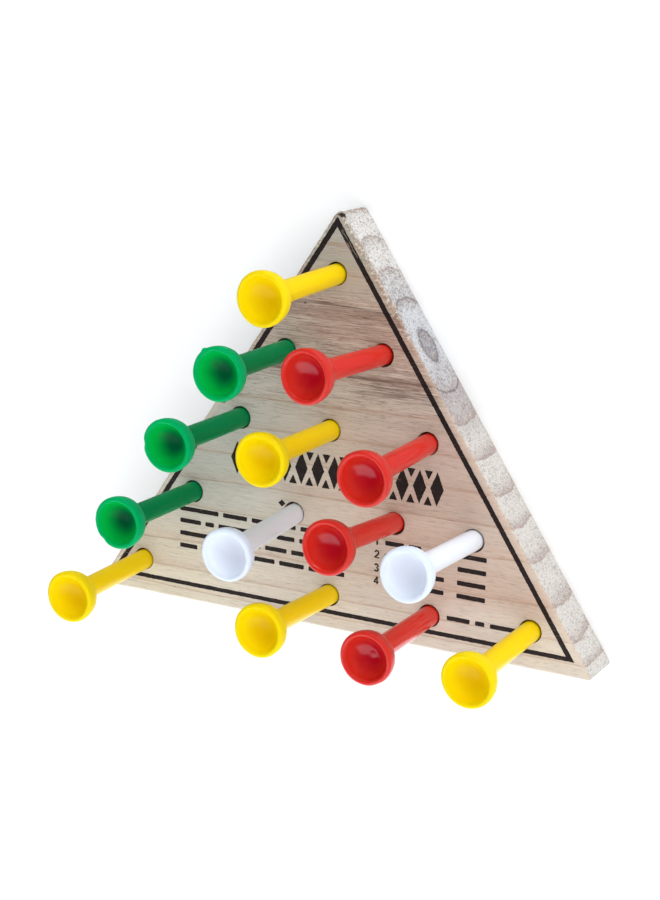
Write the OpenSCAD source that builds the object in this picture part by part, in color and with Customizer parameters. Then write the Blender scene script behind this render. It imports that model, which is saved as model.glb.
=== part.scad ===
// Triangular peg jump game: one thick wooden board drilled with fifteen
// blind holes in five rows, and fourteen cup-headed pegs standing in them.
// The board lies on its back with the pegs up. Origin: centre of the
// board's bounding rectangle, on its underside. +X runs along the bottom
// edge, +Y points to the apex, +Z is up, out of the drilled face.

/* [Board] */
// Length of the bottom edge, measured to its sharp corners
edge_base = 119.8; // [110:0.2:150]
// Height of the triangle, measured to its sharp apex
edge_rise = 90.2; // [84:0.2:120]
// Thickness of the board
board_t = 10.8; // [10:0.1:18]
// Radius that blunts the apex
apex_r = 1.5; // [0.5:0.1:3]
// Radius that blunts the two bottom corners
corner_r = 0.8; // [0.4:0.1:2]

/* [Holes] */
// Diameter of a hole
hole_d = 4.9; // [4.9:0.1:5.6]
// Depth of a hole's straight wall
hole_depth = 7.0; // [5:0.5:7.5]
// Point angle of the drill that leaves the cone at the bottom of a hole
drill_angle = 118; // [100:2:140]
// How far the holes stray from a regular grid, 1 as drilled by hand, 0 for a perfect grid
wander = 1; // [0:0.1:1]

/* [Pegs] */
// Height of a peg's rim above the drilled face
peg_stand = 28.9; // [20:0.1:34]
// Diameter of the stem at its tail
tail_d = 4.3; // [3.6:0.1:4.4]
// Diameter of the stem where it meets the head
neck_d = 4.6; // [3.8:0.1:4.8]
// Diameter of the head at its widest
head_d = 11.2; // [9:0.1:13]
// Height of the head, from its rim back to the stem
head_h = 4.8; // [4:0.1:6]
// Width of the rim round the dish
rim_w = 1.1; // [0.6:0.1:1.3]
// Depth of the dish in the head
dish_depth = 3.1; // [1.5:0.1:3.2]
// Gap between a peg's tail and the bottom of the hole's straight wall
seat_gap = 0.2; // [0.1:0.05:0.6]
// How far the pegs lean in their holes, 1 as they stand, 0 for upright
lean = 1; // [0:0.1:1]

/* [Hidden] */
$fn = 72;

// angles of the sharp triangle: at a bottom corner, and half the apex
base_a = atan2(edge_rise, edge_base / 2);
apex_h = 90 - base_a;
// rounding the apex lowers the board's top by this much
apex_drop = apex_r * (1 / sin(apex_h) - 1);
overall_h = edge_rise - apex_drop;
y_bot = -overall_h / 2;
y_tip = y_bot + edge_rise;

// centres of the circles that blunt the corners
apex_c = [0, y_tip - apex_r / sin(apex_h)];
right_c = [edge_base / 2 - corner_r / tan(base_a / 2), y_bot + corner_r];
left_c = [-right_c[0], right_c[1]];
// unit normal of the right-hand slanting edge
side_n = [sin(base_a), cos(base_a)];

// the regular grid: five rows, each one hole longer than the row above
pitch = edge_base * 0.19;
row_step = edge_rise * 0.191;
grid_x = -0.8;
grid_y = y_bot + 7.3;

// how far each hole was drilled from its grid place, in millimetres,
// row by row from the apex, left to right
STRAY = [[0.4, 0.1],
         [0.2, 0.3], [0.2, 1.7],
         [0.8, 1.6], [-0.2, 1.7], [-0.5, 1.9],
         [0.3, 0.7], [2.9, -0.3], [3.9, 1.2], [-0.9, 0.4],
         [-1.3, 0.3], [-1.0, 1.6], [0.4, 0.2], [1.2, -0.1], [1.0, 0.8]];

// how each peg leans in its hole, in degrees: towards +X, towards +Y
LEAN = [[-1.6, -2.7],
        [1.8, -0.4], [-4.0, 0.3],
        [-0.1, -0.6], [-0.2, -0.6], [0.1, -1.9],
        [-0.3, -0.5], [0.9, -3.3], [-0.6, 3.7], [-2.3, 0.5],
        [0.5, -1.7], [0, 0], [-1.0, 0.8], [0.1, -0.6], [-1.6, -2.6]];

// row and place in the row of hole number n, counted from the apex
function row_of(n) = floor((sqrt(8 * n + 1) - 1) / 2 + 0.0001);
function col_of(n) = n - row_of(n) * (row_of(n) + 1) / 2;
function hole_at(n) = [
    grid_x + (col_of(n) - row_of(n) / 2) * pitch + wander * STRAY[n][0],
    grid_y + (4 - row_of(n)) * row_step + wander * STRAY[n][1]];

// the board's outline: three straight edges between three blunt corners
module outline() {
    polygon([
        [left_c[0], y_bot], [right_c[0], y_bot],
        right_c + corner_r * side_n, apex_c + apex_r * side_n,
        apex_c + apex_r * [-side_n[0], side_n[1]],
        left_c + corner_r * [-side_n[0], side_n[1]]]);
    translate(apex_c) circle(r = apex_r);
    translate(right_c) circle(r = corner_r);
    translate(left_c) circle(r = corner_r);
}

// one blind hole, open at the drilled face, with the drill's cone at its end
module drilling() {
    r = hole_d / 2;
    cone = r / tan(drill_angle / 2);
    translate([0, 0, board_t - hole_depth]) cylinder(h = hole_depth + 1, r = r);
    translate([0, 0, board_t - hole_depth - cone]) cylinder(h = cone + 0.01, r1 = 0.02, r2 = r + 0.006);
}

module board() {
    color("burlywood")
    difference() {
        linear_extrude(height = board_t) outline();
        for (n = [0 : 14]) translate(hole_at(n)) drilling();
    }
}

// length of a peg from its tail to its rim
peg_len = hole_depth - seat_gap + peg_stand;
head_r = head_d / 2;
neck_r = neck_d / 2;
// the rim is a full round; behind it the head is at its widest
bulge_h = rim_w / 2;
dish_r = head_r - rim_w;
// radius of the sphere that the dish is cut from
dish_s = (dish_r * dish_r + dish_depth * dish_depth) / (2 * dish_depth);
fillet = 0.9;

// half of a peg's section, tail at the origin, turned about its axis
function head_back(steps, p) = [for (i = [1 : steps]) let (a = i / steps)
    [neck_r + fillet * 0.35 + (head_r - neck_r - fillet * 0.35) * pow(1 - pow(a, p), 1 / p),
     peg_len - bulge_h - (head_h - bulge_h) * a]];
function rim_round(steps) = [for (i = [0 : steps]) let (a = 90 - 180 * i / steps)
    [head_r - rim_w / 2 + rim_w / 2 * sin(a), peg_len - rim_w / 2 + rim_w / 2 * cos(a)]];
function dish(steps) = [for (i = [1 : steps]) let (a = asin(dish_r / dish_s) * (1 - i / steps))
    [dish_s * sin(a), peg_len - rim_w / 2 - dish_depth + dish_s * (1 - cos(a))]];

module peg_section() {
    polygon(concat(
        [[0, 0], [tail_d / 2 - 0.5, 0], [tail_d / 2 - 0.15, 0.15], [tail_d / 2, 0.5]],
        [[neck_r, peg_len - head_h - fillet], [neck_r + fillet * 0.08, peg_len - head_h - fillet * 0.5]],
        [for (i = [0 : 15]) head_back(16, 2.2)[15 - i]],
        rim_round(12),
        dish(12)));
}

// a peg standing in hole n: it leans about the middle of the hole's depth
module peg(n) {
    at = hole_at(n);
    translate([at[0], at[1], board_t - hole_depth / 2])
        rotate([-lean * LEAN[n][1], lean * LEAN[n][0], 0])
            translate([0, 0, seat_gap - hole_depth / 2])
                rotate_extrude() peg_section();
}

module peg_row1_yellow() { color("gold") peg(0); }
module peg_row2_left_green() { color("seagreen") peg(1); }
module peg_row2_right_red() { color("crimson") peg(2); }
module peg_row3_left_green() { color("seagreen") peg(3); }
module peg_row3_middle_yellow() { color("gold") peg(4); }
module peg_row3_right_red() { color("crimson") peg(5); }
module peg_row4_first_green() { color("seagreen") peg(6); }
module peg_row4_second_white() { color("white") peg(7); }
module peg_row4_third_red() { color("crimson") peg(8); }
module peg_row4_fourth_white() { color("white") peg(9); }
module peg_row5_first_yellow() { color("gold") peg(10); }
module peg_row5_third_yellow() { color("gold") peg(12); }
module peg_row5_fourth_red() { color("crimson") peg(13); }
module peg_row5_fifth_yellow() { color("gold") peg(14); }

board();
peg_row1_yellow();
peg_row2_left_green();
peg_row2_right_red();
peg_row3_left_green();
peg_row3_middle_yellow();
peg_row3_right_red();
peg_row4_first_green();
peg_row4_second_white();
peg_row4_third_red();
peg_row4_fourth_white();
peg_row5_first_yellow();
peg_row5_third_yellow();
peg_row5_fourth_red();
peg_row5_fifth_yellow();
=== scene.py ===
"""Triangle peg jump game: the looks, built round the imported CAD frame.

Lengths inside the builders are millimetres in the row frame and are turned
into metres when a mesh is made. The board lies on its back, pegs up.
"""
import math
import random

import bpy
import bmesh
from mathutils import Matrix, Vector, noise
from mathutils.geometry import delaunay_2d_cdt


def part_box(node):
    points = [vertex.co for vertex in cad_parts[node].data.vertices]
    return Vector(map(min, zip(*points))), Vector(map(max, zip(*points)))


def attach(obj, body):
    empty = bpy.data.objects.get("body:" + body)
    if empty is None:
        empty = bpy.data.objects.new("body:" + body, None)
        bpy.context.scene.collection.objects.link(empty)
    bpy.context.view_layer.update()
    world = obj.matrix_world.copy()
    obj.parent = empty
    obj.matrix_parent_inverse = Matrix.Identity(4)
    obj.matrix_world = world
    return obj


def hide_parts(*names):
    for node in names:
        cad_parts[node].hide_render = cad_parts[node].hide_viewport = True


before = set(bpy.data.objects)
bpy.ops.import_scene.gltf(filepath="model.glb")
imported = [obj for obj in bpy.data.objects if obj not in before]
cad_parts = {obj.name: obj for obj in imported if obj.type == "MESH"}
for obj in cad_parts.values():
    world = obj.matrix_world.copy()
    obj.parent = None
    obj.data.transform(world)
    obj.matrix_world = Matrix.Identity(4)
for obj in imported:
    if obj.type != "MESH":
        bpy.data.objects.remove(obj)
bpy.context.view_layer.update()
scene = bpy.context.scene
MM = 0.001


# ---------------------------------------------------------------- helpers
def sm(a, b, x):
    t = min(1.0, max(0.0, (x - a) / (b - a)))
    return t * t * (3 - 2 * t)


def lin(r, g, b):
    """8-bit sRGB to linear, as a 4-tuple."""
    def f(c):
        c /= 255.0
        return c / 12.92 if c <= 0.04045 else ((c + 0.055) / 1.055) ** 2.4
    return (f(r), f(g), f(b), 1.0)


def dim(colour, k):
    return (colour[0] * k, colour[1] * k, colour[2] * k, 1.0)


def nz(x, y=0.0, z=0.0):
    """Perlin noise in -1..1."""
    return noise.noise(Vector((x, y, z)))


class Tree:
    """A short hand for building a material's node tree."""

    def __init__(self, name):
        self.mat = bpy.data.materials.new(name)
        self.mat.use_nodes = True
        self.t = self.mat.node_tree
        self.t.nodes.clear()
        self.out = self.t.nodes.new("ShaderNodeOutputMaterial")
        self.bsdf = self.t.nodes.new("ShaderNodeBsdfPrincipled")
        self.t.links.new(self.bsdf.outputs[0], self.out.inputs["Surface"])

    def put(self, socket, value):
        if isinstance(value, bpy.types.NodeSocket):
            self.t.links.new(value, socket)
        else:
            socket.default_value = value

    def math(self, op, a, b=None, c=None, clamp=False):
        n = self.t.nodes.new("ShaderNodeMath")
        n.operation = op
        n.use_clamp = clamp
        for i, v in enumerate((a, b, c)):
            if v is not None:
                self.put(n.inputs[i], v)
        return n.outputs[0]

    def vec(self, op, a, b=None):
        n = self.t.nodes.new("ShaderNodeVectorMath")
        n.operation = op
        self.put(n.inputs[0], a)
        if b is not None:
            self.put(n.inputs[1], b)
        return n.outputs[0]

    def split(self, v):
        n = self.t.nodes.new("ShaderNodeSeparateXYZ")
        self.put(n.inputs[0], v)
        return n.outputs[0], n.outputs[1], n.outputs[2]

    def join(self, x, y, z):
        n = self.t.nodes.new("ShaderNodeCombineXYZ")
        for i, v in enumerate((x, y, z)):
            self.put(n.inputs[i], v)
        return n.outputs[0]

    def mix(self, f, a, b, blend="MIX"):
        n = self.t.nodes.new("ShaderNodeMix")
        n.data_type = "RGBA"
        n.blend_type = blend
        n.clamp_factor = True
        self.put(n.inputs[0], f)
        self.put(n.inputs[6], a)
        self.put(n.inputs[7], b)
        return n.outputs[2]

    def step(self, x, a, b, lo=0.0, hi=1.0):
        """Smooth step of x from a (gives lo) to b (gives hi)."""
        n = self.t.nodes.new("ShaderNodeMapRange")
        n.interpolation_type = "SMOOTHSTEP"
        n.clamp = True
        if a > b:
            a, b, lo, hi = b, a, hi, lo
        for i, v in enumerate((x, a, b, lo, hi)):
            self.put(n.inputs[i], v)
        return n.outputs[0]

    def noise(self, v, scale=1.0, detail=2.0, rough=0.5, dist=0.0, w=None):
        n = self.t.nodes.new("ShaderNodeTexNoise")
        if w is not None:
            n.noise_dimensions = "4D"
            self.put(n.inputs["W"], w)
        self.put(n.inputs["Vector"], v)
        self.put(n.inputs["Scale"], scale)
        self.put(n.inputs["Detail"], detail)
        self.put(n.inputs["Roughness"], rough)
        self.put(n.inputs["Distortion"], dist)
        return n.outputs[0]

    def voronoi(self, v, scale=1.0, feature="F1", rand=1.0):
        n = self.t.nodes.new("ShaderNodeTexVoronoi")
        n.feature = feature
        self.put(n.inputs["Vector"], v)
        self.put(n.inputs["Scale"], scale)
        self.put(n.inputs["Randomness"], rand)
        return n.outputs["Distance"]

    def attr(self, name):
        n = self.t.nodes.new("ShaderNodeAttribute")
        n.attribute_name = name
        return n.outputs["Fac"]

    def here(self):
        """Position in the object's own coordinates, in millimetres."""
        n = self.t.nodes.new("ShaderNodeTexCoord")
        return self.vec("MULTIPLY", n.outputs["Object"], (1000.0, 1000.0, 1000.0))

    def bump(self, height, distance, strength=1.0, normal=None):
        n = self.t.nodes.new("ShaderNodeBump")
        n.inputs["Strength"].default_value = strength
        n.inputs["Distance"].default_value = distance
        self.put(n.inputs["Height"], height)
        if normal is not None:
            self.put(n.inputs["Normal"], normal)
        return n.outputs[0]

    def set(self, name, value):
        self.put(self.bsdf.inputs[name], value)


# ------------------------------------------------- design numbers of the CAD
EDGE_BASE, EDGE_RISE, BOARD_T = 119.8, 90.2, 10.8
APEX_R, CORNER_R = 1.5, 0.8
HOLE_R, HOLE_DEPTH, DRILL_ANGLE = 2.45, 7.0, 118.0
PEG_STAND, TAIL_R, NECK_R, HEAD_R, HEAD_H = 28.9, 2.15, 2.3, 5.6, 4.8
RIM_W, DISH_DEPTH, SEAT_GAP, FILLET = 1.1, 3.1, 0.2, 0.9
PEG_LEN = HOLE_DEPTH - SEAT_GAP + PEG_STAND
STRAY = [(0.4, 0.1), (0.2, 0.3), (0.2, 1.7), (0.8, 1.6), (-0.2, 1.7), (-0.5, 1.9), (0.3, 0.7), (2.9, -0.3),
         (3.9, 1.2), (-0.9, 0.4), (-1.3, 0.3), (-1.0, 1.6), (0.4, 0.2), (1.2, -0.1), (1.0, 0.8)]
LEAN = [(-1.6, -2.7), (1.8, -0.4), (-4.0, 0.3), (-0.1, -0.6), (-0.2, -0.6), (0.1, -1.9), (-0.3, -0.5), (0.9, -3.3),
        (-0.6, 3.7), (-2.3, 0.5), (0.5, -1.7), (0, 0), (-1.0, 0.8), (0.1, -0.6), (-1.6, -2.6)]
PEGS = {0: "peg_row1_yellow", 1: "peg_row2_left_green", 2: "peg_row2_right_red", 3: "peg_row3_left_green",
        4: "peg_row3_middle_yellow", 5: "peg_row3_right_red", 6: "peg_row4_first_green", 7: "peg_row4_second_white",
        8: "peg_row4_third_red", 9: "peg_row4_fourth_white", 10: "peg_row5_first_yellow", 12: "peg_row5_third_yellow",
        13: "peg_row5_fourth_red", 14: "peg_row5_fifth_yellow"}

BASE_A = math.atan2(EDGE_RISE, EDGE_BASE / 2)
APEX_H = math.pi / 2 - BASE_A
Y_BOT = -(EDGE_RISE - APEX_R * (1 / math.sin(APEX_H) - 1)) / 2
Y_TIP = Y_BOT + EDGE_RISE


def hole_at(n):
    row = int((math.sqrt(8 * n + 1) - 1) / 2 + 1e-4)
    col = n - row * (row + 1) // 2
    return (-0.8 + (col - row / 2) * EDGE_BASE * 0.19 + STRAY[n][0],
            Y_BOT + 7.3 + (4 - row) * EDGE_RISE * 0.191 + STRAY[n][1])


def peg_matrix(n):
    """The peg's own frame: its tail at the origin, its axis along +Z."""
    x, y = hole_at(n)
    lx, ly = (math.radians(v) for v in LEAN[n])
    return (Matrix.Translation((x * MM, y * MM, (BOARD_T - HOLE_DEPTH / 2) * MM))
            @ Matrix.Rotation(lx, 4, "Y") @ Matrix.Rotation(-ly, 4, "X")
            @ Matrix.Translation((0, 0, (SEAT_GAP - HOLE_DEPTH / 2) * MM)))


# ---------------------------------------------------------------- camera
def make_camera():
    az, el, roll = math.radians(28.24), math.radians(14.14), math.radians(1.29)
    pitch = 0.023
    back = Vector((math.sin(az) * math.cos(el), -math.cos(az) * math.cos(el), math.sin(el)))
    right = Vector((math.cos(az), math.sin(az), 0))
    up = back.cross(right)
    r2 = math.cos(roll) * right + math.sin(roll) * up
    u2 = -math.sin(roll) * right + math.cos(roll) * up
    c = 16.802 * back + 0.089 * r2 - 0.156 * u2

    def flat(v):  # the standing board's frame, laid on its back
        return Vector((v.x, v.z, -v.y))

    at = flat(c) * pitch + Vector((-0.1444 * pitch, -0.1098 * pitch + 0.000632, BOARD_T * MM))
    cols = [flat(v) for v in (r2, u2, back)]
    m = Matrix(((cols[0].x, cols[1].x, cols[2].x, at.x),
                (cols[0].y, cols[1].y, cols[2].y, at.y),
                (cols[0].z, cols[1].z, cols[2].z, at.z),
                (0, 0, 0, 1)))
    data = bpy.data.cameras.new("camera")
    data.lens = 1851 * 36 / 900
    data.sensor_width = 36
    data.clip_start, data.clip_end = 0.01, 50
    cam = bpy.data.objects.new("camera", data)
    scene.collection.objects.link(cam)
    cam.matrix_world = m
    scene.camera = cam


make_camera()


# ---------------------------------------------------------------- board
RIGHT_C = (EDGE_BASE / 2, Y_BOT)
LEFT_C = (-EDGE_BASE / 2, Y_BOT)
APEX_C = (0.0, Y_TIP)
NORM_R = math.pi / 2 - BASE_A          # direction of the right-hand side's outward normal
NORM_L = math.pi - NORM_R
CORNERS = [  # sharp corner, direction inwards, half angle, radius, arc from, arc to
    (LEFT_C, (math.cos(BASE_A / 2), math.sin(BASE_A / 2)), BASE_A / 2, CORNER_R, NORM_L, math.pi * 1.5),
    (RIGHT_C, (-math.cos(BASE_A / 2), math.sin(BASE_A / 2)), BASE_A / 2, CORNER_R, -math.pi / 2, NORM_R),
    (APEX_C, (0, -1), APEX_H, APEX_R, NORM_R, NORM_L),
]


def arc_point(corner, t, d):
    """Point on the outline set in by d, at t along a corner's arc, with its normal's angle."""
    (cx, cy), (bx, by), half, rad, a0, a1 = CORNERS[corner]
    rho = max(rad - d, 0.05)
    k = (d + rho) / math.sin(half)
    a = a0 + (a1 - a0) * t
    return cx + bx * k + rho * math.cos(a), cy + by * k + rho * math.sin(a), a


def outline_slots(gap=0.5, arc=12):
    """The outline as a list of ('arc', corner, t) and ('edge', corner, next corner, t)."""
    out = []
    for i in range(3):
        out += [("arc", i, k / arc) for k in range(arc + 1)]
        j = (i + 1) % 3
        a, b = arc_point(i, 1, 0), arc_point(j, 0, 0)
        n = int(math.hypot(b[0] - a[0], b[1] - a[1]) / gap)
        out += [("edge", i, j, k / n) for k in range(1, n)]
    return out


def slot_point(s, d):
    if s[0] == "arc":
        return arc_point(s[1], s[2], d)
    a, b = arc_point(s[1], 1, d), arc_point(s[2], 0, d)
    return a[0] + (b[0] - a[0]) * s[3], a[1] + (b[1] - a[1]) * s[3], a[2]


def cross_grain(a):
    """1 on the two sawn slanting sides, 0 on the bottom edge, by the normal's angle."""
    return sm(0.35, 0.75, abs(math.cos(a)))


# ink: every shape is a list of points, drawn as a closed loop
def wobble(points, amp, seed, gap=0.3):
    """The loop cut finer and moved a little, like ink that has crept along the grain."""
    out = []
    n = len(points)
    for i in range(n):
        (x0, y0), (x1, y1) = points[i], points[(i + 1) % n]
        k = max(1, int(math.hypot(x1 - x0, y1 - y0) / gap))
        for j in range(k):
            t = j / k
            x, y = x0 + (x1 - x0) * t, y0 + (y1 - y0) * t
            dx = amp * 1.3 * nz(x * 1.9 + seed, y * 3.1, 3.7)
            dy = amp * (nz(x * 1.3, y * 3.3 + seed, 9.1) + 0.5 * nz(x * 4.1, y * 7.0, seed))
            out.append((x + dx, y + dy))
    return out


def bar(x0, x1, y, h, r=0.22):
    """A dash with rounded ends."""
    pts = []
    for cx, cy, a in ((x1 - r, y + h / 2 - r, 0), (x0 + r, y + h / 2 - r, 90), (x0 + r, y - h / 2 + r, 180),
                      (x1 - r, y - h / 2 + r, 270)):
        for k in range(4):
            t = math.radians(a + 30 * k)
            pts.append((cx + r * math.cos(t), cy + r * math.sin(t)))
    return pts


def disc(cx, cy, r, n=28):
    return [(cx + r * math.cos(2 * math.pi * k / n), cy + r * math.sin(2 * math.pi * k / n)) for k in range(n)]


def stroke(points, w):
    """A poly-line drawn with a square pen of width w, as one loop."""
    left, right = [], []
    for i, (x, y) in enumerate(points):
        a = points[max(0, i - 1)]
        b = points[min(len(points) - 1, i + 1)]
        dx, dy = b[0] - a[0], b[1] - a[1]
        k = math.hypot(dx, dy)
        nx, ny = -dy / k, dx / k
        if 0 < i < len(points) - 1:  # widen at the bend so that the pen keeps its width
            ux, uy = x - a[0], y - a[1]
            m = math.hypot(ux, uy)
            c = max(0.5, abs(nx * -uy / m + ny * ux / m))
        else:
            c = 1.0
        left.append((x + nx * w / 2 / c, y + ny * w / 2 / c))
        right.append((x - nx * w / 2 / c, y - ny * w / 2 / c))
    return left + right[::-1]


def arc_path(cx, cy, rx, ry, a0, a1, n=10):
    return [(cx + rx * math.cos(math.radians(a0 + (a1 - a0) * k / n)),
             cy + ry * math.sin(math.radians(a0 + (a1 - a0) * k / n))) for k in range(n + 1)]


def digit(which, x, y, h):
    """The figures 1 to 4, h high with the foot at (x, y), as loops that may overlap."""
    w = 0.36 * h * 0.55
    if which == 1:
        return [stroke([(x + 0.05 * h, y + 0.74 * h), (x + 0.3 * h, y + 0.95 * h), (x + 0.3 * h, y)], w)]
    if which == 2:
        return [stroke(arc_path(x + 0.3 * h, y + 0.68 * h, 0.24 * h, 0.24 * h, 170, -35)
                       + [(x + 0.06 * h, y + 0.09 * h), (x + 0.6 * h, y + 0.09 * h)], w)]
    if which == 3:
        return [stroke(arc_path(x + 0.28 * h, y + 0.7 * h, 0.22 * h, 0.21 * h, 160, -80)
                       + arc_path(x + 0.28 * h, y + 0.27 * h, 0.25 * h, 0.2 * h, 75, -160), w)]
    return [stroke([(x + 0.03 * h, y + 0.24 * h), (x + 0.43 * h, y + 0.95 * h)], w),
            stroke([(x - 0.02 * h, y + 0.28 * h), (x + 0.63 * h, y + 0.28 * h)], w),
            stroke([(x + 0.44 * h, y), (x + 0.44 * h, y + 0.97 * h)], w)]


def print_shapes():
    """All the ink: the border's two outlines, then the loops of a row of ornaments, rows of dashes and four figures."""
    solid = []
    # border: two nested triangles
    cx, hb, zb, zt = -0.36, 55.87, -41.2, 43.35
    ang = math.atan2(zt - zb, hb)
    w_side, w_base = 1.08, 0.98
    outer = [(cx - hb, zb), (cx + hb, zb), (cx + 0.14, zt - 0.02), (cx - 0.14, zt - 0.02)]
    dy = w_side / math.cos(ang)          # the inner apex lies this far below the outer one
    dx = (w_side + w_base * math.cos(ang)) / math.sin(ang)
    inner = [(cx - hb + dx, zb + w_base), (cx + hb - dx, zb + w_base), (cx, zt - dy)]
    border = (wobble(outer, 0.07, 1.3, 0.35), wobble(inner, 0.07, 7.9, 0.35))
    # a harlequin band where the heading is: solid lozenges, with small triangles between them above and below
    y0, y1 = -13.7, -6.4
    mid, count = (y0 + y1) / 2, 13
    step = (26.2 + 25.2) / count
    for k in range(count):
        x, w = -25.0 + k * step, step - 0.9
        solid.append(wobble([(x + w / 2, y0), (x + w, mid), (x + w / 2, y1), (x, mid)], 0.06, 11 + k))
        if k:
            c = x - 0.45
            solid.append(wobble([(c - 0.95, y0), (c + 0.95, y0), (c + 0.1, y0 + 1.8), (c - 0.1, y0 + 1.8)], 0.04, 211 + k))
            solid.append(wobble([(c - 0.1, y1 - 1.8), (c + 0.1, y1 - 1.8), (c + 0.95, y1), (c - 0.95, y1)], 0.04, 231 + k))
    # one small lozenge below it
    solid.append(wobble([(-13.15, -18.5), (-12.25, -19.3), (-11.4, -18.5), (-12.25, -17.7)], 0.04, 3.3))
    # four rows of word-long dashes
    rows = [(-23.52, [9.9, 6.1, 4.6, 5.2, 3.0, 6.3]), (-26.25, [5.4, 2.2, 7.4, 5.0, 4.4, 6.6, 3.4]),
            (-29.1, [8.1, 4.0, 6.2, 5.3, 3.1, 7.4]), (-31.95, [4.5, 3.4, 5.6, 7.2, 6.1, 2.2, 5.3])]
    for r, (y, words) in enumerate(rows):
        x = -38.0
        for i, w in enumerate(words):
            solid.append(wobble(bar(x, x + w, y, 1.02), 0.055, 50 + 7 * r + i, 0.28))
            x += w + 1.15
    # the score table: figures 1 to 4, a dash, a short dash and a longer one
    for r, y in enumerate((-24.05, -26.9, -29.8, -32.6)):
        for loop in digit(r + 1, 10.2, y, 1.75):
            solid.append(wobble(loop, 0.035, 90 + r, 0.2))
        ym = y + 0.8
        solid.append(wobble(bar(12.6, 16.9, ym, 1.02), 0.05, 95 + r, 0.28))
        solid.append(wobble(bar(18.0, 20.9, ym, 1.02), 0.05, 99 + r, 0.28))
        solid.append(wobble(bar(23.0 + (0.8 if r < 2 else 0.0), 26.3, ym, 1.02), 0.05, 104 + r, 0.28))
        solid.append(wobble(bar(29.2, 35.6, ym, 1.02), 0.05, 108 + r, 0.28))
    # one row of three dashes at the bottom right
    x = 27.2
    for i, w in enumerate((5.2, 2.1, 5.9)):
        solid.append(wobble(bar(x, x + w, -36.95, 0.98), 0.05, 120 + i, 0.28))
        x += w + 1.2
    return border, solid


def inside(loop, x, y):
    hit = False
    j = len(loop) - 1
    for i in range(len(loop)):
        (xi, yi), (xj, yj) = loop[i], loop[j]
        if (yi > y) != (yj > y) and x < (xj - xi) * (y - yi) / (yj - yi) + xi:
            hit = not hit
        j = i
    return hit


def boxed(loops):
    return [(min(p[0] for p in l), min(p[1] for p in l), max(p[0] for p in l), max(p[1] for p in l), l) for l in loops]


def in_any(boxes, x, y):
    return any(b[0] <= x <= b[2] and b[1] <= y <= b[3] and inside(b[4], x, y) for b in boxes)


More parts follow.
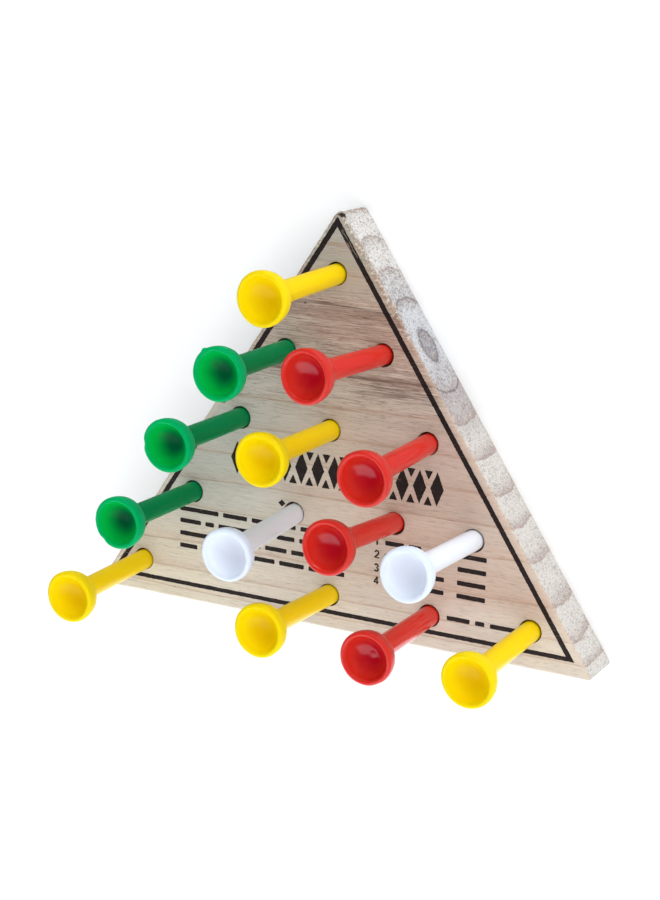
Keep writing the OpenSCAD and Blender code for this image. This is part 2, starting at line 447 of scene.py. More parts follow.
def make_board():
    slots = outline_slots()
    n = len(slots)
    bm = bmesh.new()
    endg = bm.verts.layers.float.new("endgrain")
    # levels down the side: (inset, z, how rough, cross-grain share)
    rows = []
    arris, foot = 6, 3
    side_z = [BOARD_T - 0.75 - (BOARD_T - 0.75 - 0.45) * k / 20 for k in range(1, 20)]
    for kind, t in ([("top", k / arris) for k in range(arris + 1)] + [("side", z) for z in side_z]
                    + [("foot", k / foot) for k in range(foot + 1)]):
        row = []
        for s in slots:
            x, y, a = slot_point(s, 0.0)
            cg = cross_grain(a)
            wear = 0.62 + 0.13 * nz(x * 0.16, y * 0.16, 5.0) + 0.10 * nz(x * 0.9, y * 0.9, 2.0) * cg
            wear = min(wear, 0.74)
            if kind == "top":
                th = t * math.pi / 2
                d, z, rough = wear * (1 - math.sin(th)), BOARD_T - wear * (1 - math.cos(th)), t
            elif kind == "side":
                d, z, rough = 0.0, t, 1.0
            else:
                th = t * math.pi / 2
                d, z, rough = 0.4 * (1 - math.cos(th)), 0.4 * (1 - math.sin(th)), 1 - t
            x, y, a = slot_point(s, d)
            # sawn fibres stand proud of torn ones: everything moves inwards
            fine = nz(x * 1.7, y * 1.7, z * 1.7) + 0.7 * nz(x * 3.3, y * 3.3, z * 3.3)
            wide = nz(x * 0.25, y * 0.25, z * 0.35)
            along = nz(x * 0.08, y * 2.0, z * 2.2)
            cut = cg * (0.085 + 0.075 * fine + 0.04 * wide) + (1 - cg) * (0.035 + 0.03 * along)
            cut += sm(36, 42, y) * (0.10 + 0.28 * nz(x * 1.3, y * 1.3, z * 1.1 + 4.0))
            cut = max(0.0, cut) * rough
            v = bm.verts.new(((x - cut * math.cos(a)) * MM, (y - cut * math.sin(a)) * MM, z * MM))
            if kind == "top":
                v[endg] = cg * t
            elif kind == "side":
                v[endg] = cg
            else:
                v[endg] = cg * (1 - t)
            row.append(v)
        rows.append(row)
    side_faces = []
    for r in range(len(rows) - 1):
        for i in range(n):
            j = (i + 1) % n
            side_faces.append(bm.faces.new((rows[r][i], rows[r + 1][i], rows[r + 1][j], rows[r][j])))
    for f in side_faces:
        f.smooth = True

    # underside
    f = bm.faces.new([v for v in rows[-1]])
    f.normal_update()
    if f.normal.z > 0:
        f.normal_flip()

    # drilled holes: a worn mouth, a straight wall and the drill's cone
    seg = 56
    mouths = []
    for h in range(15):
        hx, hy = hole_at(h)
        cone = HOLE_R / math.tan(math.radians(DRILL_ANGLE / 2))
        prev = None
        levels = [(None, BOARD_T), (HOLE_R + 0.015, BOARD_T - 0.05), (HOLE_R, BOARD_T - 0.20)]
        levels += [(HOLE_R, BOARD_T - 0.20 - (HOLE_DEPTH - 0.20) * k / 9) for k in range(1, 10)]
        levels += [(HOLE_R * 0.5, BOARD_T - HOLE_DEPTH - cone * 0.5), (0.12, BOARD_T - HOLE_DEPTH - cone * 0.97)]
        for li, (r, z) in enumerate(levels):
            ring = []
            for k in range(seg):
                a = 2 * math.pi * k / seg
                if r is None:  # torn a little where the drill leaves across the grain
                    rr = HOLE_R + 0.045 + 0.02 * nz(math.cos(a) * 2.2 + h * 3, math.sin(a) * 2.2, 1.0) \
                        + 0.08 * max(0.0, nz(math.cos(a) * 5 + h, math.sin(a) * 5, 7.0))
                else:
                    rr = r + (0.015 * nz(k * 0.9, z * 2.5 + h * 5, 3.0) if 1 < li < len(levels) - 2 else 0.0)
                ring.append(bm.verts.new(((hx + rr * math.cos(a)) * MM, (hy + rr * math.sin(a)) * MM, z * MM)))
            if li == 0:
                mouths.append([(v.co.x / MM, v.co.y / MM) for v in ring])
            else:
                for k in range(seg):
                    f = bm.faces.new((prev[k], prev[(k + 1) % seg], ring[(k + 1) % seg], ring[k]))
                    f.smooth = True
                    f.material_index = 2 if li > 1 else 0
            prev = ring
        f = bm.faces.new(prev)
        f.material_index = 2

    # drilled and printed face: one flat triangulation that holds every edge of the ink
    rim = [(v.co.x / MM, v.co.y / MM) for v in rows[0]]
    border, ink = print_shapes()
    pts, edges = [], []
    for loop in [rim] + mouths + list(border) + ink:
        k0 = len(pts)
        pts += [Vector(p) for p in loop]
        edges += [(k0 + i, k0 + (i + 1) % len(loop)) for i in range(len(loop))]
    vs, _, fs, _, _, _ = delaunay_2d_cdt(pts, edges, [], 0, 1e-5)
    ink_b, hole_b, rim_b = boxed(ink), boxed(mouths), boxed([rim])
    out_b, in_b = boxed(border[:1]), boxed(border[1:])
    tops = {}
    for f in fs:
        mx = sum(vs[i].x for i in f) / len(f)
        my = sum(vs[i].y for i in f) / len(f)
        if in_any(hole_b, mx, my) or not in_any(rim_b, mx, my):
            continue
        for i in f:
            if i not in tops:
                tops[i] = bm.verts.new((vs[i].x * MM, vs[i].y * MM, BOARD_T * MM))
        face = bm.faces.new([tops[i] for i in f])
        if face.normal.z < 0:
            face.normal_flip()
        band = in_any(out_b, mx, my) and not in_any(in_b, mx, my)
        face.material_index = 1 if band or in_any(ink_b, mx, my) else 0
    bmesh.ops.remove_doubles(bm, verts=bm.verts, dist=2e-6)
    bmesh.ops.recalc_face_normals(bm, faces=bm.faces)
    loose = [e for e in bm.edges if len(e.link_faces) != 2]
    print("board: vertices", len(bm.verts), "faces", len(bm.faces), "open edges", len(loose))
    mesh = bpy.data.meshes.new("board_wood")
    bm.to_mesh(mesh)
    bm.free()
    ob = bpy.data.objects.new("board_wood", mesh)
    scene.collection.objects.link(ob)
    for m in (wood_material("wood_face"), wood_material("wood_print", ink=True), wood_material("wood_bore_painted_shade", bore=True)):
        mesh.materials.append(m)
    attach(ob, "board")
    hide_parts("board")
    return ob


# ---------------------------------------------------------------- wood
E_K = 0.82      # albedo that a colour sampled in full light stands for


def wood_material(name, ink=False, bore=False):
    t = Tree(name)
    p = t.here()
    x, y, z = t.split(p)
    one = lambda v: t.math("SUBTRACT", 1.0, v)
    mul = lambda a, b: t.math("MULTIPLY", a, b)
    add = lambda a, b: t.math("ADD", a, b)
    # growth rings: round a pith that runs along X inside the board
    drift = t.noise(t.vec("MULTIPLY", p, (0.011, 0.05, 0.05)), 1.0, 2.0)
    drift2 = t.noise(t.vec("MULTIPLY", p, (0.013, 0.04, 0.04)), 1.0, 2.0, w=None)
    small = t.noise(t.vec("MULTIPLY", p, (0.05, 0.35, 0.35)), 1.0, 2.0)
    yy = add(t.math("SUBTRACT", y, 18.6), mul(t.math("SUBTRACT", drift, 0.5), 4.2))
    zz = add(t.math("SUBTRACT", z, 5.3), mul(t.math("SUBTRACT", drift2, 0.5), 2.0))
    r = t.math("SQRT", add(mul(yy, yy), mul(zz, zz)))
    r = add(r, mul(t.math("SUBTRACT", small, 0.5), 1.1))
    r = add(r, mul(x, 0.012))
    # one wide ring low down
    r = t.math("SUBTRACT", r, mul(mul(t.step(y, -25.0, -31.0), t.step(y, -43.0, -37.0)), 2.2))
    # the rings stand closer above the pith
    r = add(r, mul(mul(t.math("MAXIMUM", t.math("SUBTRACT", r, 9.6), 0.0), t.step(y, 24.0, 27.0)), 0.17))
    f = t.math("FRACT", add(t.math("DIVIDE", r, 6.4), 0.5))
    late = mul(t.step(f, 0.55, 0.95), t.step(f, 1.0, 0.975))
    line = mul(t.step(f, 0.88, 0.955), t.step(f, 1.0, 0.985))
    # streaks along the grain, from wide to hair-fine
    s1 = t.noise(t.vec("MULTIPLY", p, (0.03, 0.9, 0.9)), 1.0, 6.0, 0.62)
    s2 = t.noise(t.vec("MULTIPLY", p, (0.09, 2.7, 2.7)), 1.0, 5.0, 0.7)
    s3 = t.noise(t.vec("MULTIPLY", p, (0.24, 5.2, 5.2)), 1.0, 3.0, 0.65)
    fibre = t.noise(t.vec("MULTIPLY", p, (0.50, 4.2, 4.2)), 1.0, 2.0, 0.6)
    wide = t.noise(t.vec("MULTIPLY", p, (0.012, 0.12, 0.12)), 1.0, 3.0, 0.55)
    blotch = t.noise(t.vec("MULTIPLY", p, (0.05, 0.10, 0.10)), 1.0, 2.0, 0.5)

    k = E_K
    heart = t.step(r, 12.5, 8.0)
    near = t.step(r, 22.0, 9.0)
    far = t.step(r, 16.0, 38.0)
    c = t.mix(far, dim(lin(202, 187, 173), k), dim(lin(222, 210, 195), k))
    c = t.mix(mul(t.step(y, 24.0, 30.0), 0.88), c, dim(lin(177, 174, 165), k))
    c = t.mix(mul(mul(heart, t.step(y, 28.5, 25.5)), 0.80), c, dim(lin(186, 154, 138), k))
    # cool and pale on the left, warm on the right
    c = t.mix(mul(mul(t.step(x, 0.0, -28.0), t.step(y, -31.0, -20.0)), 0.75), c, dim(lin(196, 201, 190), k))
    c = t.mix(mul(mul(t.step(x, -10.0, -40.0), t.step(y, -24.0, -32.0)), 0.8), c, dim(lin(232, 222, 200), k))
    c = t.mix(mul(mul(t.step(x, -4.0, 14.0), t.step(y, 6.0, -4.0)), mul(t.step(y, -38.0, -31.0), 0.50)), c, dim(lin(200, 170, 155), k))
    c = t.mix(mul(t.step(wide, 0.46, 0.72), 0.42), c, dim(lin(204, 170, 150), k))
    c = t.mix(mul(t.step(blotch, 0.50, 0.72), 0.30), c, dim(lin(184, 178, 166), k))
    # annual rings: a soft darkening, then one crisp line
    c = t.mix(mul(late, add(0.16, mul(heart, 0.22))), c, t.mix(heart, dim(lin(186, 146, 116), k), dim(lin(120, 92, 82), k)))
    c = t.mix(mul(line, add(0.34, mul(heart, 0.46))), c, t.mix(heart, dim(lin(172, 132, 104), k), dim(lin(70, 54, 54), k)))
    # streaks: strong near the pith, faint elsewhere
    near = mul(near, t.step(y, 30.0, 26.5))      # the tip is calm
    c = t.mix(mul(t.step(s1, 0.50, 0.72), add(0.08, mul(near, 0.50))), c, dim(lin(126, 98, 88), k))
    c = t.mix(mul(t.step(s1, 0.46, 0.30), add(0.14, mul(near, 0.34))), c, dim(lin(224, 211, 196), k))
    c = t.mix(mul(t.step(s2, 0.51, 0.68), add(0.13, mul(near, 0.33))), c, dim(lin(112, 86, 76), k))
    c = t.mix(mul(t.step(s2, 0.47, 0.34), add(0.16, mul(near, 0.26))), c, dim(lin(228, 216, 202), k))
    c = t.mix(mul(t.step(s3, 0.50, 0.68), add(0.20, mul(near, 0.34))), c, dim(lin(112, 88, 76), k))
    c = t.mix(mul(t.step(s3, 0.48, 0.36), add(0.10, mul(near, 0.16))), c, dim(lin(232, 220, 206), k))
    c = t.mix(mul(t.step(fibre, 0.56, 0.70), add(0.24, mul(near, 0.30))), c, dim(lin(96, 74, 66), k))
    # two dark stains run along the grain under the second row
    stain = mul(t.step(add(y, mul(t.math("SUBTRACT", s1, 0.5), 3.0)), 6.2, 8.0), t.step(add(y, mul(t.math("SUBTRACT", s1, 0.5), 3.0)), 11.0, 9.2))
    stain = mul(mul(stain, t.step(x, 2.0, 12.0)), t.step(s2, 0.36, 0.60))
    c = t.mix(mul(stain, 0.62), c, dim(lin(92, 66, 62), k))
    # a speck of bark
    sx, sy = t.math("ADD", x, 7.5), t.math("SUBTRACT", y, 25.2)
    speck = t.step(t.math("SQRT", add(mul(mul(sx, sx), 0.5), mul(sy, sy))), 0.26, 0.14)
    c = t.mix(mul(speck, 0.85), c, dim(lin(60, 44, 42), k))
    face_h = add(mul(s2, 0.8), add(mul(s3, 0.8), mul(late, 0.5)))

    # sawn sides across the grain: pale fibre ends full of dark pores
    pore = t.noise(p, 1.5, 3.0, 0.62, dist=0.8)
    pore2 = t.noise(t.vec("ADD", p, (31.0, 7.0, 3.0)), 2.6, 2.0, 0.6)
    tuft = t.noise(t.vec("ADD", p, (5.0, 17.0, 9.0)), 1.5, 3.0, 0.65)
    grit = t.noise(p, 1.7, 4.0, 0.72)
    patch = t.noise(t.vec("ADD", p, (2.0, 1.0, 6.0)), 0.35, 2.0, 0.5)
    q = 0.74
    core = t.step(r, 10.2, 8.6)
    pith = t.step(r, 4.2, 2.6)
    shell = t.step(r, 8.8, 10.0)
    low = mul(mul(t.step(r, 21.0, 12.0), t.step(y, 16.5, 13.5)), add(0.55, mul(shell, 0.45)))     # duller under the pith
    high = mul(mul(t.step(r, 18.5, 9.8), t.step(y, 25.0, 27.0)), add(0.3, mul(shell, 0.7)))
    e = t.mix(t.step(y, 14.0, 30.0), dim(lin(226, 221, 215), q), dim(lin(235, 233, 229), q))
    e = t.mix(mul(core, 0.85), e, dim(lin(214, 218, 224), q))
    e = t.mix(mul(high, 0.70), e, dim(lin(202, 202, 206), q))
    e = t.mix(mul(low, 0.80), e, dim(lin(190, 182, 182), q))
    e = t.mix(mul(pith, 0.75), e, dim(lin(168, 170, 180), q))
    e = t.mix(mul(late, t.step(y, 0.0, 14.0, 0.60, 0.42)), e, dim(lin(194, 176, 168), q))
    # the crisp edge of each ring
    strong = add(t.step(y, 3.0, 14.0, 0.36, 0.56), mul(t.step(r, 12.0, 10.0), t.step(y, 16.0, 12.0, 0.0, 0.22)))
    strong = mul(strong, t.step(y, 26.0, 32.0, 1.0, 0.6))
    e = t.mix(mul(line, t.math("ADD", strong, mul(t.math("SUBTRACT", pore2, 0.5), 1.0))), e,
              t.mix(t.step(r, 13.0, 9.0), dim(lin(176, 146, 128), q), dim(lin(96, 90, 98), q)))
    # pores, denser in the late wood and round the pith
    dense = add(mul(late, 0.04), add(mul(pith, 0.05), add(mul(low, 0.03), mul(high, 0.03))))
    dense = add(dense, mul(t.math("SUBTRACT", patch, 0.5), 0.10))
    bold = t.step(y, 3.0, 20.0, 0.74, 1.0)      # the lower rings are smoother
    pits = t.step(add(pore, dense), 0.52, 0.62)
    pits2 = t.step(add(pore2, dense), 0.53, 0.65)
    e = t.mix(mul(mul(pits, bold), 0.58), e, t.mix(patch, dim(lin(124, 124, 134), q), dim(lin(154, 134, 122), q)))
    e = t.mix(mul(mul(pits2, bold), 0.55), e, dim(lin(118, 110, 108), q))
    e = t.mix(mul(mul(t.step(tuft, 0.56, 0.70), bold), 0.55), e, dim(lin(246, 243, 236), q))
    end_h = add(mul(pore, -1.6), add(mul(pore2, -0.9), mul(tuft, 1.2)))

    eg = t.attr("endgrain")
    ragged = add(eg, mul(t.math("SUBTRACT", t.noise(p, 1.1, 3.0, 0.6), 0.5), 0.9))
    em = t.step(ragged, 0.40, 0.75)
    # high up the tear reaches a little way round the corner
    wrap = t.step(add(z, mul(t.math("SUBTRACT", grit, 0.5), 3.4)), 10.7, 9.7)
    em = mul(em, t.mix(t.step(y, 14.0, 24.0), (1.0, 1.0, 1.0, 1.0), wrap))
    # the last millimetre of the face before a sawn side: bruised, torn high up, paler low down
    edge = t.math("SUBTRACT", t.math("MULTIPLY", t.math("SUBTRACT", Y_TIP, y), math.cos(BASE_A)),
                  mul(t.math("ABSOLUTE", x), math.sin(BASE_A)))
    torn = mul(t.step(add(edge, mul(t.math("SUBTRACT", grit, 0.5), 3.2)), 1.5, 0.5), t.step(y, 14.0, 24.0))
    c = t.mix(mul(torn, mul(t.step(grit, 0.44, 0.56), 0.60)), c, dim(lin(146, 118, 98), k))
    c = t.mix(mul(torn, mul(t.step(tuft, 0.52, 0.60), 0.85)), c, dim(lin(236, 228, 214), k))
    rub = mul(t.step(add(edge, mul(t.math("SUBTRACT", grit, 0.5), 2.0)), 1.9, 0.5), t.step(y, 22.0, 8.0))
    c = t.mix(mul(rub, 0.45), c, dim(lin(226, 208, 190), k))
    worn = mul(t.step(eg, 0.02, 0.3), t.step(eg, 0.95, 0.5))
    c = t.mix(mul(worn, mul(t.step(grit, 0.45, 0.6), 0.45)), c, dim(lin(160, 134, 114), k))
    if bore:
        # painted shade: the bore's walls are a darker brown than the face, for the shade down in the holes
        col = t.mix(0.45, t.mix(0.4, c, dim(lin(150, 112, 84), k)), dim(lin(128, 94, 68), k))
        t.set("Base Color", col)
        t.set("Roughness", 0.9)
        t.set("Normal", t.bump(add(grit, face_h), 0.0001, 0.8))
        t.set("Specular IOR Level", 0.2)
        return t.mat
    col = t.mix(em, c, e)
    # ink smeared over the very tip
    dx = t.math("SUBTRACT", x, 0.5)
    dy = t.math("SUBTRACT", y, 43.75)
    dz = t.math("SUBTRACT", z, 10.5)
    d2 = add(mul(mul(dx, dx), 0.28), add(mul(dy, dy), mul(mul(dz, dz), 1.6)))
    smear = t.step(add(t.math("SQRT", d2), mul(t.math("SUBTRACT", grit, 0.5), 0.9)), 0.62, 0.46)
    black = dim(lin(24, 15, 18), 0.7)
    if ink:
        # thin spots where the ink missed the pores
        pores = mul(t.step(s3, 0.60, 0.78), 0.30)
        thin = t.noise(p, 2.6, 3.0, 0.7)
        spots = mul(t.step(thin, 0.64, 0.74), 0.32)
        # scuffed on the right hand line near the tip, rubbed away on a short piece of the left one
        along = t.math("SUBTRACT", mul(x, 0.553), mul(y, 0.833))
        across = add(mul(x, 0.833), mul(y, 0.553))
        drag = t.noise(t.join(mul(along, 0.35), mul(across, 3.2), 4.0), 1.0, 3.0, 0.6)
        scuff = mul(mul(t.step(y, 33.0, 37.0), t.step(x, 0.3, 1.2)), mul(t.step(drag, 0.54, 0.62), 0.6))
        lost = mul(mul(t.step(y, -2.5, -2.0), t.step(y, 1.8, 1.3)), t.step(x, -20.0, -21.0))
        lost = mul(lost, mul(t.step(thin, 0.70, 0.64), 0.97))
        cover = t.math("SUBTRACT", 0.985, t.math("MAXIMUM", t.math("MAXIMUM", pores, spots), t.math("MAXIMUM", scuff, lost)))
        col = t.mix(t.math("MAXIMUM", cover, 0.0), col, t.mix(t.noise(p, 1.2, 2.0), black, dim(lin(38, 29, 31), 0.8)))
        rough = add(0.5, mul(s2, 0.2))
        t.set("Specular IOR Level", 0.10)
    else:
        col = t.mix(mul(smear, 0.95), col, black)
        rough = add(0.62, mul(add(s1, em), 0.16))
        t.set("Specular IOR Level", 0.3)
    t.set("Base Color", col)
    t.set("Roughness", rough)
    h = add(mul(face_h, t.math("SUBTRACT", 1.0, em)), mul(mul(end_h, em), 1.5))
    h = add(h, mul(mul(torn, tuft), 2.0))
    t.set("Normal", t.bump(h, 0.00008, 0.8))
    return t.mat


# ---------------------------------------------------------------- pegs
# base: the thin rim; deep: the dish's centre, backed by the stem; stem: the stem; inner: the dish's own wall; inner
# lighter and deep darker partly as painted light and shade down the dish
PLASTIC = {
    "yellow": dict(base=(0.67, 0.52, 0.0, 1), deep=(0.76, 0.51, 0.0, 1), stem=(0.73, 0.515, 0.0, 1),
                   inner=(0.80, 0.635, 0.0, 1), sss=0.7, radius=(1.0, 0.8, 0.05), rough=0.30, spec=0.16),
    "green": dict(base=(0.0, 0.30, 0.10, 1), deep=(0.0, 0.094, 0.034, 1), stem=(0.0, 0.17, 0.052, 1),
                  inner=(0.0, 0.44, 0.060, 1), sss=0.8, radius=(0.05, 1.0, 0.5), rough=0.22, spec=0.06),
    "red": dict(base=(0.50, 0.020, 0.012, 1), deep=(0.46, 0.001, 0.012, 1), stem=(0.54, 0.020, 0.012, 1),
                inner=(0.58, 0.022, 0.012, 1), sss=0.6, radius=(1.0, 0.15, 0.10), rough=0.19, spec=0.46),
    "white": dict(base=(0.57, 0.63, 0.73, 1), deep=(0.68, 0.71, 0.78, 1), stem=(0.68, 0.71, 0.77, 1),
                  inner=(0.72, 0.76, 0.84, 1), sss=0.7, radius=(1.0, 1.0, 1.1), rough=0.30, spec=0.20),
}


def plastic_material(colour):
    s = PLASTIC[colour]
    t = Tree("plastic_" + colour)
    p = t.here()
    x, y, z = t.split(p)
    info = t.t.nodes.new("ShaderNodeObjectInfo")
    w = t.math("MULTIPLY", info.outputs["Random"], 37.0)
    cloud = t.noise(p, 0.22, 3.0, 0.55, w=w)
    swirl = t.noise(t.vec("MULTIPLY", p, (0.40, 0.40, 0.22)), 1.0, 2.0, 0.5, dist=0.6, w=w)
    # partly the deeper colour of thick plastic, partly painted light and shade: lighter where light comes through the
    # thin rim, darker down the dish where the stem backs it
    thin = t.math("ADD", t.attr("thin"), t.math("MULTIPLY", t.math("SUBTRACT", cloud, 0.5), 0.22))
    wall = t.mix(t.attr("dish"), s["base"], s["inner"])
    col = t.mix(t.step(thin, 0.0, 1.0), t.mix(t.attr("dish"), s["stem"], s["deep"]), wall)
    # faint flow marks of the moulding, and a few specks of dust
    col = t.mix(t.math("MULTIPLY", t.step(swirl, 0.50, 0.72), 0.12), col, t.mix(0.5, col, dim(s["base"], 1.15)))
    dust = t.step(t.noise(p, 2.3, 2.0, 0.5, w=w), 0.75, 0.80)
    col = t.mix(t.math("MULTIPLY", dust, 0.22), col, dim(s["deep"], 0.6))
    t.set("Base Color", col)
    # fine rubbing marks, and a duller patch here and there
    scratch = t.noise(t.vec("MULTIPLY", p, (2.4, 2.4, 1.2)), 1.0, 3.0, 0.6, w=w)
    rough = t.math("ADD", s["rough"] - 0.02, t.math("MULTIPLY", t.math("ADD", t.step(scratch, 0.5, 0.75), cloud), 0.035))
    # the outside of the cup and its lip are duller than the polished dish
    rough = t.math("ADD", rough, t.math("MULTIPLY", t.math("MULTIPLY", t.attr("thin"), t.math("SUBTRACT", 1.0, t.attr("dish"))), 0.20))
    t.set("Roughness", rough)
    t.set("IOR", 1.5)
    t.set("Specular IOR Level", s["spec"])
    t.set("Subsurface Weight", s["sss"])
    t.set("Subsurface Radius", s["radius"])
    t.set("Subsurface Scale", 0.0020)
    # parting line of the two-part mould, on the stem only
    line = t.step(t.math("ABSOLUTE", y), 0.16, 0.03)
    line = t.math("MULTIPLY", line, t.step(z, PEG_LEN - HEAD_H - 0.3, PEG_LEN - HEAD_H - 1.6))
    peel = t.noise(p, 0.9, 2.0, 0.5, w=w)
    fine = t.noise(p, 7.0, 2.0, 0.5, w=w)
    h = t.math("ADD", t.math("MULTIPLY", peel, 0.55), t.math("ADD", t.math("MULTIPLY", fine, 0.03), t.math("MULTIPLY", line, 0.5)))
    t.set("Normal", t.bump(h, 0.00005, 0.45))
    return t.mat


def peg_profile():
    """(radius, height, thin wall, inside the dish) from the tail's centre, up the outside, over the rim and down
    the dish to its centre."""
    top, neck = PEG_LEN, PEG_LEN - HEAD_H
    out = [(0.0, 0.0, 0, 0), (TAIL_R - 0.9, 0.0, 0, 0)]
    out += [(TAIL_R - 0.5 + 0.5 * math.sin(a), 0.5 - 0.5 * math.cos(a), 0, 0) for a in (math.pi / 2 * k / 5 for k in range(6))]
    out += [(TAIL_R + (NECK_R - TAIL_R) * k / 14, 0.5 + (neck - FILLET - 0.5) * k / 14, 0, 0) for k in range(1, 14)]
    # fillet into the back of the head
    r1 = NECK_R + FILLET * 0.35
    for k in range(7):
        a = k / 6
        out.append((NECK_R + (r1 - NECK_R) * a ** 2.2, neck - FILLET + FILLET * a, 0.25 * a, 0))
    bulge = RIM_W / 2
    steps = 26
    for i in range(1, steps + 1):
        a = math.sin(math.pi / 2 * (1 - i / steps))
        rr = r1 + (HEAD_R - r1) * (1 - a ** 2.2) ** (1 / 2.2)
        out.append((rr, top - bulge - (HEAD_H - bulge) * a, 0.25 + 0.75 * sm(0, 0.8, 1 - a), 0))
    bead = RIM_W / 2
    for k in range(1, 6):
        a = math.pi * k / 10
        out.append((HEAD_R - bead + bead * math.cos(a), top - bead + bead * math.sin(a), 1, 0.12 * sm(2, 5, k)))
    # the lip rolls over softly into the dish
    dish_r = HEAD_R - RIM_W
    s = (dish_r ** 2 + DISH_DEPTH ** 2) / (2 * DISH_DEPTH)
    join = 4.1
    a0 = math.asin(join / s)
    p0, p3 = (HEAD_R - bead, 0.0), (join, s * (1 - math.cos(a0)) - bead - DISH_DEPTH)
    p1 = (p0[0] - 0.46, 0.0)
    p2 = (p3[0] + 0.55 * math.cos(a0), p3[1] + 0.55 * math.sin(a0))
    for k in range(1, 13):
        t = k / 12
        w = ((1 - t) ** 3, 3 * t * (1 - t) ** 2, 3 * t * t * (1 - t), t ** 3)
        rr = sum(c * p[0] for c, p in zip(w, (p0, p1, p2, p3)))
        zz = top + sum(c * p[1] for c, p in zip(w, (p0, p1, p2, p3)))
        out.append((rr, zz, sm(0.2, 5.4, rr), 0.12 + 0.88 * sm(0.1, 0.9, t)))
    for k in range(1, 21):
        a = a0 * (1 - k / 20)
        rr, zz = s * math.sin(a), top - bead - DISH_DEPTH + s * (1 - math.cos(a))
        out.append((rr, zz, sm(0.2, 5.4, rr), 1))
    return out


# faults of the moulding: turn about the peg (degrees), how far out (mm), half width (degrees)
FLASH = {1: [(124.5, 0.38, 5.0)], 3: [(182.0, -0.28, 9.0)], 6: [(228.0, -0.24, 8.0)], 13: [(300.0, -0.12, 14.0)]}


def make_peg(n, name):
    prof = peg_profile()
    seg = 88
    rnd = random.Random(100 + n)
    phase = rnd.uniform(0, 6.28)
    oval = rnd.uniform(0.01, 0.035)
    turn = rnd.uniform(0, 2 * math.pi)
    nub = 0.16 if n == 13 else rnd.uniform(0.0, 0.03)      # the mark of the mould's gate
    bm = bmesh.new()
    thin_l = bm.verts.layers.float.new("thin")
    dish_l = bm.verts.layers.float.new("dish")
    rings = []
    for i, (r, z, thin, dish) in enumerate(prof):
        if dish > 0.99:
            z += nub * sm(0.75, 0.35, r)
        if r < 1e-6:
            v = bm.verts.new((0, 0, z * MM))
            v[thin_l], v[dish_l] = thin, dish
            rings.append([v])
            continue
        ring = []
        head = sm(PEG_LEN - HEAD_H - 1, PEG_LEN - HEAD_H + 2, z)
        lip = sm(PEG_LEN - 1.6, PEG_LEN - 0.5, z)
        for k in range(seg):
            a = 2 * math.pi * k / seg
            rr = r - head * (oval * (1 + math.cos(2 * (a - phase)))) * r / HEAD_R
            rr -= head * 0.03 * (1 + nz(math.cos(a) * 1.6 + n, math.sin(a) * 1.6, z * 0.3)) * r / HEAD_R
            dz = -head * 0.04 * (1 + nz(math.cos(a) * 1.2, math.sin(a) * 1.2 + n * 2.0, 4.0)) * sm(3.0, 5.2, r)
            for at, far, half in FLASH.get(n, ()):
                off = (math.degrees(a + turn) - at + 180) % 360 - 180
                rr += far * lip * math.exp(-(off / half) ** 2) * sm(HEAD_R - RIM_W, HEAD_R - RIM_W / 2, r)
            v = bm.verts.new((rr * math.cos(a) * MM, rr * math.sin(a) * MM, (z + dz) * MM))
            v[thin_l], v[dish_l] = thin, dish
            ring.append(v)
        rings.append(ring)
    for a, b in zip(rings, rings[1:]):
        if len(a) == 1:
            for k in range(seg):
                bm.faces.new((a[0], b[(k + 1) % seg], b[k]))
        elif len(b) == 1:
            for k in range(seg):
                bm.faces.new((a[k], a[(k + 1) % seg], b[0]))
        else:
            for k in range(seg):
                bm.faces.new((a[k], a[(k + 1) % seg], b[(k + 1) % seg], b[k]))
    bmesh.ops.rotate(bm, verts=bm.verts, cent=(0, 0, 0), matrix=Matrix.Rotation(turn, 3, "Z"))
    bmesh.ops.recalc_face_normals(bm, faces=bm.faces)
    for f in bm.faces:
        f.smooth = True
    mesh = bpy.data.meshes.new(name + "_moulding")
    bm.to_mesh(mesh)
    bm.free()
    ob = bpy.data.objects.new(name + "_moulding", mesh)
    scene.collection.objects.link(ob)
    ob.matrix_world = peg_matrix(n)
    colour = name.split("_")[-1]
    if "plastic_" + colour not in bpy.data.materials:
        plastic_material(colour)
    mesh.materials.append(bpy.data.materials["plastic_" + colour])
    bpy.context.view_layer.update()
    lo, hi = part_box(name)
    mid = ob.matrix_world @ Vector((0, 0, PEG_LEN / 2 * MM))
    if ((Vector(lo) + Vector(hi)) / 2 - mid).length > 0.0015:
        raise RuntimeError(f"{name} is not where its CAD node is")
    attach(ob, name)
    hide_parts(name)
    return ob


# ---------------------------------------------------------------- stage
def area(name, size, at, aim, power, colour=(1, 1, 1), size_y=None):
    d = bpy.data.lights.new(name, "AREA")
    d.shape = "RECTANGLE" if size_y else "SQUARE"
    d.size = size
    if size_y:
        d.size_y = size_y
    d.energy = power
    d.color = colour
    o = bpy.data.objects.new(name, d)
    scene.collection.objects.link(o)
    o.location = at
    o.rotation_euler = (Vector(aim) - Vector(at)).to_track_quat("-Z", "Y").to_euler()
    o.visible_camera = False
    return o


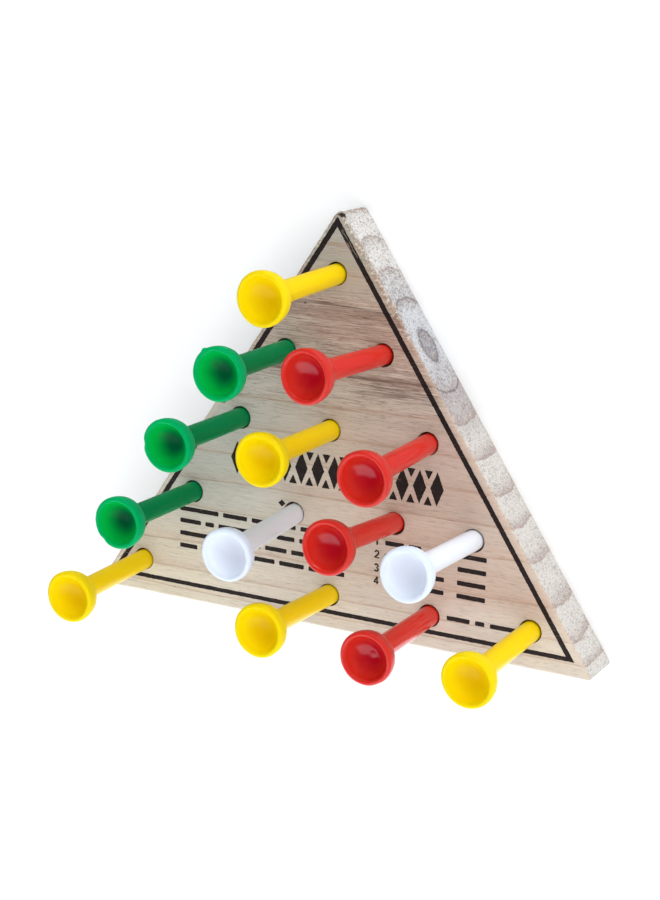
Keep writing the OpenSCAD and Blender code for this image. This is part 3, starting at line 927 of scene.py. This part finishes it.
def make_stage():
    bm = bmesh.new()
    bmesh.ops.create_grid(bm, x_segments=1, y_segments=1, size=3.0)
    mesh = bpy.data.meshes.new("floor")
    bm.to_mesh(mesh)
    bm.free()
    ob = bpy.data.objects.new("floor", mesh)
    scene.collection.objects.link(ob)
    t = Tree("floor_white")
    # far from the part the floor passes into the white of the background
    x, y, z = t.split(t.here())
    far = t.step(t.math("SQRT", t.math("ADD", t.math("MULTIPLY", x, x), t.math("MULTIPLY", y, y))), 200.0, 520.0)
    t.set("Base Color", t.mix(far, (0.93, 0.935, 0.94, 1), (0.0, 0.0, 0.0, 1)))
    t.set("Emission Color", (0.93, 0.94, 0.95, 1))
    t.set("Emission Strength", far)
    t.set("Roughness", 0.9)
    t.set("Specular IOR Level", 0.1)
    mesh.materials.append(t.mat)
    ob.visible_glossy = False

    # surroundings: a white table below the standing picture (-Y here), a dark room above it
    world = bpy.data.worlds.new("world")
    scene.world = world
    world.use_nodes = True
    nt = world.node_tree
    nt.nodes.clear()
    tc = nt.nodes.new("ShaderNodeTexCoord")
    sep = nt.nodes.new("ShaderNodeSeparateXYZ")
    nt.links.new(tc.outputs["Generated"], sep.inputs[0])

    def region(socket, lo, hi):
        n = nt.nodes.new("ShaderNodeMapRange")
        n.interpolation_type = "SMOOTHSTEP"
        for i, v in ((1, lo), (2, hi), (3, 1.0), (4, 0.0)):
            n.inputs[i].default_value = v
        nt.links.new(sep.outputs[socket], n.inputs[0])
        return n.outputs[0]

    def blend(factor, a, b):
        n = nt.nodes.new("ShaderNodeMix")
        n.data_type = "RGBA"
        for i, v in ((6, a), (7, b)):
            if isinstance(v, tuple):
                n.inputs[i].default_value = v
            else:
                nt.links.new(v, n.inputs[i])
        nt.links.new(factor, n.inputs[0])
        return n.outputs[2]

    path = nt.nodes.new("ShaderNodeLightPath")
    room = blend(region(2, 0.12, 0.42), (0.07, 0.072, 0.08, 1), (0.85, 0.87, 0.90, 1))
    room = blend(region(1, -0.30, -0.20), room, (1.15, 1.19, 1.25, 1))

    def both(a, b):
        n = nt.nodes.new("ShaderNodeMath")
        n.operation = "MULTIPLY"
        nt.links.new(a, n.inputs[0])
        nt.links.new(b, n.inputs[1])
        return n.outputs[0]

    def flip(a):
        n = nt.nodes.new("ShaderNodeMath")
        n.operation = "SUBTRACT"
        n.inputs[0].default_value = 1.0
        nt.links.new(a, n.inputs[1])
        return n.outputs[0]

    # in reflections: a dim room, the white table, and a lamp low behind the board's tip
    seen = blend(region(2, 0.12, 0.42), (0.04, 0.042, 0.05, 1), (0.30, 0.31, 0.33, 1))
    seen = blend(both(region(1, -0.30, -0.20), region(0, 0.50, 0.66)), seen, (1.75, 1.80, 1.90, 1))
    lamp = both(both(flip(region(0, 0.02, 0.08)), region(0, 0.32, 0.40)),
                both(flip(region(2, -0.40, -0.35)), region(2, -0.27, -0.22)))
    seen = blend(both(lamp, flip(region(1, 0.0, 0.5))), seen, (3.0, 3.0, 3.1, 1))
    room = blend(path.outputs["Is Glossy Ray"], room, seen)
    bg = nt.nodes.new("ShaderNodeBackground")
    out = nt.nodes.new("ShaderNodeOutputWorld")
    nt.links.new(blend(path.outputs["Is Camera Ray"], room, (0.93, 0.94, 0.95, 1)), bg.inputs["Color"])
    nt.links.new(bg.outputs[0], out.inputs["Surface"])
    # softboxes; the picture's top is +Y here, its right is +X
    area("spot", 0.19, (0.16, 0.60, 0.05), (0, 0, 0.03), 0.9, (1.0, 1.0, 1.0), 0.07)
    area("table", 0.5, (0.0, -0.17, 0.05), (0, 0, 0.03), 0.28, (0.97, 0.99, 1.0), 0.16).visible_glossy = False
    area("top", 0.5, (0.20, 0.60, 0.30), (0, 0, 0.03), 1.0, (1.0, 1.0, 1.0), 0.28).visible_glossy = False
    area("right", 0.45, (0.64, 0.28, 0.34), (0, 0, 0.02), 2.5, (1.0, 0.99, 0.98)).visible_glossy = False
    area("front", 1.3, (0.05, 0.10, 1.3), (0, 0, 0), 10.2, (0.99, 1.0, 1.0)).visible_glossy = False


scene.view_settings.view_transform = "Standard"
scene.view_settings.look = "None"
scene.view_settings.exposure = 0.0
scene.view_settings.gamma = 1.0

make_stage()
make_board()
for number, node in PEGS.items():
    make_peg(number, node)

bpy.context.view_layer.update()
